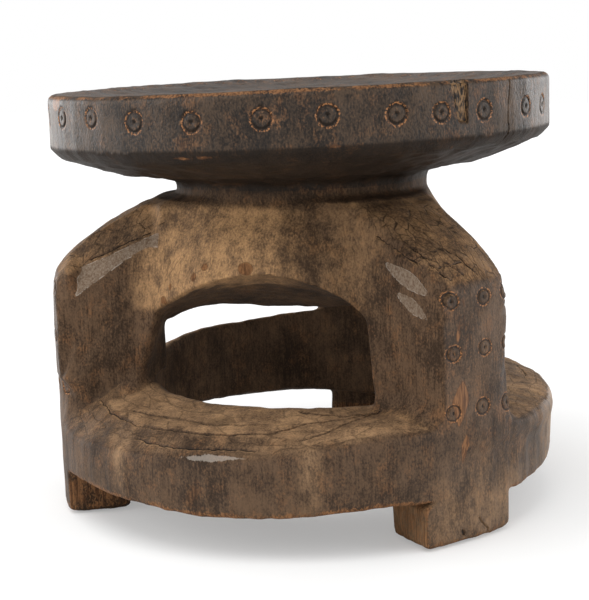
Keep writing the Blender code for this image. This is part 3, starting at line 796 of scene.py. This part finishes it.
print("worn:", int((wear > 0.3).sum()), "points")

# %% [markdown]
# Hands polish the outer faces and sitters the dish, less so the ring's front, where feet scrape. Drying cracks net
# the level faces, where the end grain comes out, but not the facets, which were planed later.

# %% Polish and cracks
polish = ramp(outward, 0.80, 0.97) * ramp(out, 0.150, 0.158) * (0.55 + 0.45 * ragged)
polish *= 1.0 - 0.6 * around(262.0, 40.0, 75.0) * (height < 0.080)
polish = most(polish, 0.9 * around(25.0, 15.0, 45.0) * outer * (height < 0.080), 0.6 * on_dish)
shoulder = ramp(up, 0.1, 0.4) * (height < 0.205) * (height > 0.14) * (out > 0.105)
crack = most(crest * ramp(out, 0.092, 0.108), 0.55 * ring_flat, 0.6 * shoulder)
crack *= 1.0 - ramp(facet, -0.0006, 0.0002)
print("polished:", int((polish > 0.3).sum()), "cracked:", int((crack > 0.3).sum()), "points")

# %% [markdown]
# The net of cracks is a pattern of long cells: along each leg on the crests, and round the ring lower down. The
# scaled places below are what that pattern reads.

# %% End grain
LEG_CELL = (0.0140, 0.0056)
RING_CELL = (0.0330, 0.0105)
RING_MIDDLE = 0.135
leg_of = np.argmin([np.abs(turned_by(points, turn)) for turn in LEG_TURNS.values()], axis=0)
end_grain = np.zeros((len(points), 3))
for index, turn in enumerate(LEG_TURNS.values()):
    along, across = leg_axes(points, turn)
    here = leg_of == index
    end_grain[here, 0] = along[here] / LEG_CELL[0]
    end_grain[here, 1] = across[here] / LEG_CELL[1]
    end_grain[here, 2] = index * 7.0
on_ring = height < 0.118
end_grain[on_ring, 0] = np.radians(turned_by(points, 270.0))[on_ring] * RING_MIDDLE / RING_CELL[0]
end_grain[on_ring, 1] = out[on_ring] / RING_CELL[1]
end_grain[on_ring, 2] = 30.0
print("on the ring:", int(on_ring.sum()), "points")

# %% [markdown]
# All layers go onto the mesh as attributes. Distances are stored in millimetres and only near their outlines, where
# the material shifts them by noise.

# %% Store the layers
def in_millimetres(distance):
    return np.clip(distance, -SPOT_LIMIT, SPOT_LIMIT) * 1000.0


stored = {"wear": wear, "soot_and_shade": soot_and_shade, "bare_and_painted_light": bare_and_painted_light, "polish": polish, "crack": crack, "raw": broken,
          "spot": in_millimetres(spot), "facet": in_millimetres(facet), "gleam": in_millimetres(gleam),
          "line": np.clip(line_across / line_width, -30.0, 30.0),
          "line_near": 1.0 - ramp(np.abs(line_across), 0.0013, 0.0024)}
for name, values in stored.items():
    layer = skin_mesh.attributes.new(name, "FLOAT", "POINT")
    layer.data.foreach_set("value", np.asarray(values, dtype=np.float32))
for name, values in (("end_grain", end_grain), ("whole_normal", normals)):
    layer = skin_mesh.attributes.new(name, "FLOAT_VECTOR", "POINT")
    layer.data.foreach_set("vector", values.astype(np.float32).ravel())
print("mean of each:", {name: round(float(np.mean(values)), 3) for name, values in stored.items()})

# %% [markdown]
# The marks' colour needs a crisp edge, finer than the mesh. So each face keeps a small map of its own,
# centred on its nearest mark, and the material draws the circle from the distance in that map.

# %% Mark map
FAR_FROM_MARKS = 9.0
corner_vert = np.empty(len(skin_mesh.loops), dtype=np.int64)
skin_mesh.loops.foreach_get("vertex_index", corner_vert)
face_start = np.empty(len(skin_mesh.polygons), dtype=np.int64)
skin_mesh.polygons.foreach_get("loop_start", face_start)
face_size = np.empty(len(skin_mesh.polygons), dtype=np.int64)
skin_mesh.polygons.foreach_get("loop_total", face_size)
face_of = np.repeat(np.arange(len(face_start)), face_size)
face_centre = np.add.reduceat(points[corner_vert], face_start, axis=0) / face_size[:, None]
face_mark = nearest_mark(face_centre)
wrong = mark_on_dish[face_mark] != (face_centre[:, 2] > DISH_TOP)
wrong |= from_axis(face_centre) < 0.140
mark_map = np.stack(mark_offset(points[corner_vert], face_mark[face_of]), axis=1)
mark_map[wrong[face_of]] = FAR_FROM_MARKS
mark_uv = skin_mesh.uv_layers.new(name="mark_map")
mark_uv.data.foreach_set("uv", mark_map.astype(np.float32).ravel())
print("mark map on", len(face_start), "faces")

# %% [markdown]
# ## Dark carved wood
# The grain of the log runs upright, so the pattern is stretched along Z: long fibres on upright faces and
# close rings on level ones, as in a real block. Everything reads Object coordinates or the stored
# attributes, so it runs on unbroken from piece to piece.

# %% Node helpers
def add_node(tree, kind, **values):
    node = tree.nodes.new(kind)
    for key, value in values.items():
        setattr(node, key, value)
    return node


def plug(tree, socket, value):
    """Set a socket to a constant, or link an output to it."""
    if isinstance(value, (int, float)):
        socket.default_value = value
    elif isinstance(value, tuple):
        socket.default_value = (*value, 1.0)
    else:
        tree.links.new(value, socket)


def math_node(tree, operation, first, second=0.0, third=0.0):
    node = add_node(tree, "ShaderNodeMath", operation=operation)
    for socket, value in zip(node.inputs, (first, second, third)):
        plug(tree, socket, value)
    return node.outputs[0]


def times(tree, first, second):
    return math_node(tree, "MULTIPLY", first, second)


def flip(tree, value):
    return math_node(tree, "SUBTRACT", 1.0, value)


def weighted(tree, *pairs):
    """Sum of outputs, each times its own weight."""
    total = 0.0
    for value, share in pairs:
        total = math_node(tree, "MULTIPLY_ADD", value, share, total)
    return total


def vector_length(tree, vector):
    node = add_node(tree, "ShaderNodeVectorMath", operation="LENGTH")
    tree.links.new(vector, node.inputs[0])
    return node.outputs["Value"]


def mix_colour(tree, amount, first, second):
    node = add_node(tree, "ShaderNodeMix", data_type="RGBA")
    for socket, value in ((node.inputs[0], amount), (node.inputs[6], first), (node.inputs[7], second)):
        plug(tree, socket, value)
    return node.outputs[2]


def grain(tree, coords, stretch, size, detail, rough=0.6):
    """Noise stretched along Z by this share."""
    mapping = add_node(tree, "ShaderNodeMapping")
    mapping.inputs["Scale"].default_value = (1.0, 1.0, stretch)
    tree.links.new(coords, mapping.inputs["Vector"])
    texture = add_node(tree, "ShaderNodeTexNoise")
    texture.inputs["Scale"].default_value = size
    texture.inputs["Detail"].default_value = detail
    texture.inputs["Roughness"].default_value = rough
    tree.links.new(mapping.outputs[0], texture.inputs["Vector"])
    return texture.outputs["Fac"]


def between(tree, value, low, high):
    node = add_node(tree, "ShaderNodeMapRange", interpolation_type="SMOOTHSTEP")
    node.inputs["From Min"].default_value = low
    node.inputs["From Max"].default_value = high
    tree.links.new(value, node.inputs["Value"])
    return node.outputs["Result"]


print("node helpers:", [tool.__name__ for tool in (math_node, weighted, vector_length, mix_colour, grain, between)])

# %% [markdown]
# ### Drying cracks
# End grain dries in a net of cracks. The pattern takes the borders of long cells, bent by noise, and the mottle
# opens and closes them.

# %% Drying cracks
def crack_lines(tree, coords, mottle):
    """Drying cracks: the borders of long cells on the end grain, bent by noise."""
    cells = add_node(tree, "ShaderNodeAttribute", attribute_name="end_grain")
    bend = add_node(tree, "ShaderNodeTexNoise")
    bend.inputs["Scale"].default_value = 70.0
    bend.inputs["Detail"].default_value = 3.0
    tree.links.new(coords, bend.inputs["Vector"])
    shift = add_node(tree, "ShaderNodeVectorMath", operation="MULTIPLY_ADD")
    tree.links.new(bend.outputs["Color"], shift.inputs[0])
    shift.inputs[1].default_value = (0.5, 0.9, 0.0)
    tree.links.new(cells.outputs["Vector"], shift.inputs[2])
    voronoi = add_node(tree, "ShaderNodeTexVoronoi", feature="DISTANCE_TO_EDGE")
    voronoi.inputs["Scale"].default_value = 1.0
    tree.links.new(shift.outputs[0], voronoi.inputs["Vector"])
    width = math_node(tree, "MULTIPLY_ADD", mottle, 0.10, -0.040)
    return flip(tree, between(tree, math_node(tree, "SUBTRACT", voronoi.outputs["Distance"], width), 0.0, 0.030))


print("cracks read the layer end_grain, shape", end_grain.shape)

# %% [markdown]
# ### Patterns
# Five noises make up the wood: fibres along the grain, fine specks, a mottle of a few millimetres, blotches of about
# three centimetres and warm embers between. A sixth breaks the marks' bright crumbs. The stored layers are read
# here too.

# %% Patterns in the wood
def start_wood(name, stretch):
    material = bpy.data.materials.new(name)
    material.use_nodes = True
    tree = material.node_tree
    coords = add_node(tree, "ShaderNodeTexCoord").outputs["Object"]
    read = {key: add_node(tree, "ShaderNodeAttribute", attribute_name=key).outputs["Fac"] for key in stored}
    return SimpleNamespace(
        material=material, tree=tree, coords=coords, read=read,
        mark_uv=add_node(tree, "ShaderNodeUVMap", uv_map="mark_map").outputs["UV"],
        fibres=grain(tree, coords, stretch, 800.0, 3.0, 0.65),
        speck=grain(tree, coords, 0.7, 900.0, 2.0, 0.60),
        mottle=grain(tree, coords, 0.6, 190.0, 5.0, 0.68),
        blotch=grain(tree, coords, 0.7, 34.0, 5.0, 0.62),
        ember=grain(tree, coords, 0.8, 80.0, 4.0, 0.70),
        beads=grain(tree, coords, 1.0, 800.0, 1.0))


print("layers to read:", sorted(stored))

# %% [markdown]
# ### Patina
# The dark skin varies from near black to brown, with a warm glow where embers show through. Bare wood lies over it
# where the hub and the ring are rubbed pale, and the same pale paints the sheen on the ring's right end and the light
# inside the arches; it follows the same tone, so that both look like one material.

# %% Patina, bare wood and painted light
RUST = (0.105, 0.044, 0.018)
ORANGE = (0.300, 0.138, 0.055)


def patina(wood, dark, brown, pale, spread):
    tree, read = wood.tree, wood.read
    wood.tone = weighted(tree, (wood.fibres, 0.20), (wood.speck, 0.26), (wood.mottle, 0.20), (wood.blotch, 0.34))
    wood.warm = mix_colour(tree, between(tree, wood.fibres, 0.38, 0.62), RUST, ORANGE)
    wood.patchy = weighted(tree, (wood.mottle, 0.5), (wood.blotch, 0.5))
    colour = mix_colour(tree, between(tree, wood.tone, 0.5 - spread, 0.5 + spread), dark, brown)
    glow = between(tree, weighted(tree, (wood.ember, 0.70), (wood.speck, 0.30)), 0.500, 0.640)
    colour = mix_colour(tree, times(tree, glow, 0.36), colour, wood.warm)
    pale_share = between(tree, weighted(tree, (wood.tone, 0.75), (wood.ember, 0.25)), 0.40, 0.60)
    # Pale wood from the same layer, which also carries the painted sheen and painted light.
    show = between(tree, weighted(tree, (read["bare_and_painted_light"], 0.70), (wood.patchy, 0.60)), 0.20, 1.00)
    show = times(tree, show, math_node(tree, "POWER", read["bare_and_painted_light"], 0.4))
    return mix_colour(tree, show, colour, mix_colour(tree, pale_share, brown, pale))


print("warm tones:", RUST, ORANGE)

# %% [markdown]
# ### Use
# Facets are dry and grey with a broken pale outline, edges are rubbed orange, soot and painted shade darken what is
# left, and spots, cracks, the raw notch and the scuff with its painted highlight lie on top, in the order in which
# they came about.

# %% Traces of use
# The first dark colour below stands for soot and for painted shade alike.
SOOT_AND_SHADE = (0.0140, 0.0095, 0.0066)
BLACK = (0.0085, 0.0058, 0.0040)
RAW = (0.240, 0.140, 0.066)
GREY = (0.245, 0.187, 0.134)
# Pale chipped wood for the facets' outline, also used for the scuff's painted highlight.
PALE_CHIP_AND_HIGHLIGHT = (0.420, 0.360, 0.300)


def faceted(wood, colour, brown):
    tree = wood.tree
    edge = weighted(tree, (wood.mottle, 1.6), (wood.read["facet"], 1.0))
    wood.on_facet = between(tree, edge, 0.80, 1.05)
    dry = mix_colour(tree, between(tree, wood.speck, 0.3, 0.7), brown, GREY)
    colour = mix_colour(tree, times(tree, wood.on_facet, 0.88), colour, dry)
    off_edge = math_node(tree, "ABSOLUTE", math_node(tree, "ADD", edge, -0.8))
    outline = times(tree, flip(tree, between(tree, off_edge, 0.08, 0.30)), between(tree, wood.ember, 0.46, 0.54))
    return mix_colour(tree, times(tree, outline, 0.65), colour, PALE_CHIP_AND_HIGHLIGHT)


def used(wood, colour, dark):
    tree, read = wood.tree, wood.read
    wood.mark_far = vector_length(tree, wood.mark_uv)
    near_mark = flip(tree, between(tree, wood.mark_far, 1.0, 2.2))
    rubbed = weighted(tree, (read["wear"], 1.0), (near_mark, 0.30), (wood.mottle, 1.3), (wood.speck, 0.9))
    colour = mix_colour(tree, times(tree, between(tree, rubbed, 1.50, 1.85), 0.75), colour, wood.warm)
    # Soot and painted shade: darken towards a near-black brown where the layer is set.
    soot_shade = mix_colour(tree, between(tree, wood.tone, 0.40, 0.62), SOOT_AND_SHADE, dark)
    colour = mix_colour(tree, times(tree, read["soot_and_shade"], 0.85), colour, soot_shade)
    spot_edge = weighted(tree, (wood.mottle, 2.4), (read["spot"], 1.0))
    colour = mix_colour(tree, times(tree, between(tree, spot_edge, 0.95, 1.25), 0.60), colour, RUST)
    colour = mix_colour(tree, times(tree, between(tree, spot_edge, 1.30, 1.80), 0.78), colour, wood.warm)
    wood.cracks = times(tree, crack_lines(tree, wood.coords, wood.mottle), read["crack"])
    wood.cracks = times(tree, wood.cracks, between(tree, wood.blotch, 0.34, 0.47))
    colour = mix_colour(tree, times(tree, wood.cracks, 0.70), colour, BLACK)
    torn = mix_colour(tree, between(tree, wood.fibres, 0.44, 0.58), dark, RAW)
    colour = mix_colour(tree, read["raw"], colour, torn)
    colour = mix_colour(tree, times(tree, between(tree, wood.fibres, 0.60, 0.74), 0.30), colour, BLACK)
    # Painted highlight: the scuff is made pale and grey, with a ragged outline.
    highlight_outline = weighted(tree, (wood.mottle, 3.0), (wood.speck, 1.5), (read["gleam"], 1.0))
    wood.gleaming = between(tree, highlight_outline, 2.25, 2.75)
    return mix_colour(tree, times(tree, wood.gleaming, 0.42), colour, PALE_CHIP_AND_HIGHLIGHT)


print("dark tones:", SOOT_AND_SHADE, BLACK)

# %% [markdown]
# ### Ink of the marks
# Dirt fills the cut circle and its dot, and the crumbled edge just outside the circle shows fresh orange wood in
# beads. The mottle pushes the circle about a little, because it was cut by hand. Cracks are filled with dirt too.

# %% Marks and lines in colour
BEAD = (0.400, 0.180, 0.072)
DOT_SQUEEZE = (1.45, 0.85, 0.0)


def inked(wood, colour):
    tree, read = wood.tree, wood.read
    past_line = weighted(tree, (wood.mottle, 0.40), (math_node(tree, "ADD", wood.mark_far, -1.2), 1.0))
    off_line = math_node(tree, "ABSOLUTE", past_line)
    off_crumbs = math_node(tree, "ABSOLUTE", math_node(tree, "ADD", past_line, -0.14))
    crumbs = flip(tree, between(tree, off_crumbs, 0.10, 0.22))
    crumbs = times(tree, crumbs, between(tree, wood.beads, 0.42, 0.52))
    fresh = mix_colour(tree, between(tree, wood.beads, 0.48, 0.62), RUST, BEAD)
    colour = mix_colour(tree, times(tree, crumbs, 0.85), colour, fresh)
    circle = flip(tree, between(tree, off_line, 0.06, 0.15))
    squeeze = add_node(tree, "ShaderNodeVectorMath", operation="MULTIPLY")
    squeeze.inputs[1].default_value = DOT_SQUEEZE
    tree.links.new(wood.mark_uv, squeeze.inputs[0])
    off_dot = weighted(tree, (wood.mottle, 0.3), (vector_length(tree, squeeze.outputs[0]), 1.0))
    dot = flip(tree, between(tree, off_dot, 0.28, 0.40))
    slit = flip(tree, between(tree, math_node(tree, "ABSOLUTE", read["line"]), 0.7, 1.6))
    slit = times(tree, times(tree, slit, read["line_near"]), between(tree, wood.ember, 0.36, 0.46))
    ink = math_node(tree, "MAXIMUM", times(tree, circle, 0.88), math_node(tree, "MAXIMUM", dot, slit))
    return mix_colour(tree, times(tree, ink, 0.92), colour, BLACK)


print("bead tone:", BEAD)

# %% [markdown]
# ### Shine and the three woods
# Polished faces, facets and the scuff are smoother than the rest. A fine bump from the same noises gives the pores.
# The seat is darkest and most handled, the body and the base are browner, with longer fibres.

# %% Wood materials
PORE_STRENGTH = 0.70
PORE_DEPTH = 0.0010


def surfaced(wood, shader, rough):
    tree, read = wood.tree, wood.read
    shine = math_node(tree, "MAXIMUM", times(tree, read["polish"], flip(tree, read["soot_and_shade"])), wood.gleaming)
    shine = math_node(tree, "MAXIMUM", shine, times(tree, wood.on_facet, 0.5))
    dull = weighted(tree, (shine, -0.22), (wood.patchy, 0.22), (wood.speck, 0.20))
    tree.links.new(math_node(tree, "ADD", dull, rough - 0.21), shader.inputs["Roughness"])
    tree.links.new(math_node(tree, "MULTIPLY_ADD", shine, 0.26, 0.10), shader.inputs["Specular IOR Level"])
    bump = add_node(tree, "ShaderNodeBump")
    bump.inputs["Strength"].default_value = PORE_STRENGTH
    bump.inputs["Distance"].default_value = PORE_DEPTH
    pores = weighted(tree, (wood.fibres, 0.25), (wood.speck, 0.45), (wood.mottle, 0.75), (wood.cracks, -0.6))
    tree.links.new(pores, bump.inputs["Height"])
    tree.links.new(bump.outputs["Normal"], shader.inputs["Normal"])


def carved_wood(name, dark, brown, pale, rough, stretch, spread):
    """A wood of three tones: its roughness, the fibres' share along Z, and how widely its tones spread."""
    wood = start_wood(name, stretch)
    shader = wood.tree.nodes["Principled BSDF"]
    colour = patina(wood, dark, brown, pale, spread)
    colour = faceted(wood, colour, brown)
    colour = used(wood, colour, dark)
    wood.tree.links.new(inked(wood, colour), shader.inputs["Base Color"])
    surfaced(wood, shader, rough)
    return wood.material


woods = {
    "seat_wood": carved_wood("seat_wood", (0.0105, 0.0069, 0.0050), (0.080, 0.050, 0.0305), (0.19, 0.112, 0.062),
                             rough=0.55, stretch=0.30, spread=0.095),
    "body_wood": carved_wood("body_wood", (0.036, 0.0212, 0.0124), (0.132, 0.0785, 0.0455), (0.56, 0.325, 0.152),
                             rough=0.66, stretch=0.06, spread=0.090),
    "base_wood": carved_wood("base_wood", (0.035, 0.0206, 0.0122), (0.120, 0.0715, 0.0415), (0.46, 0.280, 0.146),
                             rough=0.66, stretch=0.06, spread=0.085),
}
print("materials:", sorted(woods))

# %% [markdown]
# ## Parting the skin
# Every face goes to the solid whose surface lies nearest. The cut edges are turned down into the wood and closed
# there, and the whole skin's normals are kept on the pieces, so that light runs over the joints unbroken.

# %% Pieces
TURN_IN = 0.0025
owners = []
tree_points = []
tree_faces = []
for name in sorted(frame["nodes"]):
    mesh = frame["nodes"][name].data
    start = len(tree_points)
    tree_points += [vert.co.copy() for vert in mesh.vertices]
    for polygon in mesh.polygons:
        tree_faces.append([start + i for i in polygon.vertices])
        owners.append(name)
nearest = BVHTree.FromPolygons(tree_points, tree_faces)
face_owner = np.array([owners[nearest.find_nearest(Vector(centre))[2]] for centre in face_centre])
slots = {part["node"]: part["material_slot"] for part in frame["record"]["subparts"]}


def part_off(node):
    bm = bmesh.new()
    bm.from_mesh(skin_mesh)
    bm.faces.ensure_lookup_table()
    bmesh.ops.delete(bm, geom=[bm.faces[i] for i in np.flatnonzero(face_owner != node)], context="FACES")
    normal_layer = bm.verts.layers.float_vector["whole_normal"]
    rims = [edge for edge in bm.edges if edge.is_boundary]
    turned = bmesh.ops.extrude_edge_only(bm, edges=rims)["geom"]
    for vert in turned:
        if isinstance(vert, bmesh.types.BMVert):
            vert.co -= vert[normal_layer] * TURN_IN
    rims = [edge for edge in bm.edges if edge.is_boundary]
    filled = bmesh.ops.holes_fill(bm, edges=rims, sides=0)["faces"]
    bmesh.ops.triangulate(bm, faces=filled)
    mesh = bpy.data.meshes.new("carved_" + node)
    bm.to_mesh(mesh)
    bm.free()
    flat = np.empty(len(mesh.vertices) * 3, dtype=np.float32)
    mesh.attributes["whole_normal"].data.foreach_get("vector", flat)
    mesh.attributes.remove(mesh.attributes["whole_normal"])
    mesh.shade_smooth()
    mesh.normals_split_custom_set_from_vertices(flat.reshape(-1, 3))
    piece = bpy.data.objects.new("carved_" + node, mesh)
    bpy.context.scene.collection.objects.link(piece)
    mesh.materials.append(woods[slots[node]])
    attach(piece, "root")
    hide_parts(node)
    return piece


for node in sorted(frame["nodes"]):
    piece = part_off(node)
    triangles = sum(len(polygon.vertices) - 2 for polygon in piece.data.polygons)
    print(piece.name, triangles, "triangles")

# %% [markdown]
# ## Floor and light
# The stool stands on a white sweep in even studio light. The sweep is paper that turns to plain white with
# distance, so that no horizon shows.

# %% Floor
FLOOR_HALF = 6.0
PAPER_WHITE = 1.15
FADE_START, FADE_END, FADE_LEAST = 0.20, 0.74, 0.27
sweep = bmesh.new()
bmesh.ops.create_grid(sweep, x_segments=1, y_segments=1, size=FLOOR_HALF)
sweep_mesh = bpy.data.meshes.new("floor")
sweep.to_mesh(sweep_mesh)
sweep.free()
floor = bpy.data.objects.new("floor", sweep_mesh)
bpy.context.scene.collection.objects.link(floor)
paper = bpy.data.materials.new("white_paper")
paper.use_nodes = True
tree = paper.node_tree
shader = tree.nodes["Principled BSDF"]
shader.inputs["Base Color"].default_value = (0.93, 0.93, 0.925, 1.0)
shader.inputs["Roughness"].default_value = 0.9
shader.inputs["Specular IOR Level"].default_value = 0.0
glow = add_node(tree, "ShaderNodeEmission")
glow.inputs["Strength"].default_value = PAPER_WHITE
fade = add_node(tree, "ShaderNodeMapRange")
for socket, value in (("From Min", FADE_START), ("From Max", FADE_END), ("To Min", FADE_LEAST), ("To Max", 1.0)):
    fade.inputs[socket].default_value = value
far_off = vector_length(tree, add_node(tree, "ShaderNodeTexCoord").outputs["Object"])
tree.links.new(far_off, fade.inputs["Value"])
seen = times(tree, fade.outputs["Result"], add_node(tree, "ShaderNodeLightPath").outputs["Is Camera Ray"])
blend = add_node(tree, "ShaderNodeMixShader")
tree.links.new(seen, blend.inputs[0])
tree.links.new(shader.outputs[0], blend.inputs[1])
tree.links.new(glow.outputs[0], blend.inputs[2])
tree.links.new(blend.outputs[0], tree.nodes["Material Output"].inputs["Surface"])
sweep_mesh.materials.append(paper)
floor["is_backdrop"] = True
print("floor:", FLOOR_HALF * 2, "m across")

# %% [markdown]
# The world gives the plain level of light and a pure white backdrop. A large soft panel above shapes the tops, and
# panels at the sides and behind give the rim and the legs their pale sheen.

# %% World and panels
WORLD_LIGHT = 0.70
world = bpy.data.worlds.new("studio")
bpy.context.scene.world = world
world.use_nodes = True
sky = world.node_tree.nodes["Background"]
sky.inputs["Color"].default_value = (1.0, 1.0, 1.0, 1.0)
level = add_node(world.node_tree, "ShaderNodeMapRange")
level.inputs["To Min"].default_value = WORLD_LIGHT
level.inputs["To Max"].default_value = 1.0
camera_ray = add_node(world.node_tree, "ShaderNodeLightPath").outputs["Is Camera Ray"]
world.node_tree.links.new(camera_ray, level.inputs["Value"])
world.node_tree.links.new(level.outputs["Result"], sky.inputs["Strength"])
# Each panel: place in the picture's axes, height it aims at, size, watts
PANELS = {"top_panel": ((-0.4, -0.5, 1.8), 0.10, 1.4, 16.0),
          "left_panel": ((-1.6, -0.3, 0.7), 0.15, 0.9, 8.0),
          "right_panel": ((1.6, -0.5, 0.6), 0.15, 0.9, 6.0),
          "left_back_panel": ((-1.3, 1.2, 0.5), 0.15, 0.9, 8.0),
          "right_back_panel": ((1.4, 1.3, 0.5), 0.15, 0.8, 7.0)}
for name, (place, aim, size, watts) in PANELS.items():
    lamp = bpy.data.lights.new(name, "AREA")
    lamp.size = size
    lamp.energy = watts
    item = bpy.data.objects.new(name, lamp)
    bpy.context.scene.collection.objects.link(item)
    place = from_photo(place)
    facing = (Vector((0.0, 0.0, aim)) - place).to_track_quat("-Z", "Y")
    item.matrix_world = Matrix.Translation(place) @ facing.to_matrix().to_4x4()
bpy.context.scene.view_settings.view_transform = "Standard"
print("panels:", sorted(PANELS))

# %% [markdown]
# ## Size and finish
# The box round the carved pieces, without the floor, is printed.

# %% Size and finish
low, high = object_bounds()
print("box", [round(b - a, 4) for a, b in zip(low, high)])
